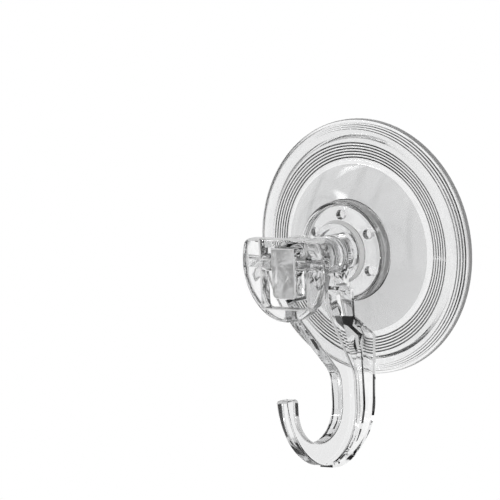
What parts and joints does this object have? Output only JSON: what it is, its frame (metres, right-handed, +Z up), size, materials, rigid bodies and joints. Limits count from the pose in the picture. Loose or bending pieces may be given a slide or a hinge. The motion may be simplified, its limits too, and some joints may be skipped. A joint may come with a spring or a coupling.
{
  "type": "suction cup hook",
  "caption": "Clear suction cup hook with a lever lock: soft pad in a stiff domed dish, pull stem, pinned thumb lever with cams, and a large J hook on a sleeve.",
  "frame": {"origin": "on the wall plane, on the axis of the cup and its stem", "axes": "+Y into the wall, +Z up, +X to the right as seen from the room"},
  "size_m": [0.085, 0.0517, 0.1127],
  "materials": {
    "clear_rigid": "polished clear moulding",
    "clear_soft": "smooth clear soft vinyl"
  },
  "bodies": {
    "cup": {"backing_dish": "clear_rigid", "suction_pad": "clear_soft"},
    "puller": {"pull_stem": "clear_rigid", "pad_insert": "clear_rigid", "hinge_pin": "clear_rigid"},
    "lever": {"cam_lever": "clear_rigid"},
    "hook": {"hook": "clear_rigid"}
  },
  "joints": [
    {"name": "pad_release", "type": "slide", "parent": "cup", "child": "puller", "axis": [0, 1, 0], "range_m": [0, 0.0035], "deforming": ["suction_pad"]},
    {"name": "lever_hinge", "type": "hinge", "parent": "puller", "child": "lever", "pos_m": [0, -0.045, 0], "axis": [-1, 0, 0], "range_deg": [0, 90]},
    {"name": "hook_swivel", "type": "hinge", "parent": "cup", "child": "hook", "pos_m": [0, -0.0275, 0], "axis": [0, 1, 0], "range_deg": [-28, 28]}
  ],
  "couplings": [
    {"joint": "pad_release", "follows": "lever_hinge", "m_per_rad": 0.002228}
  ]
}
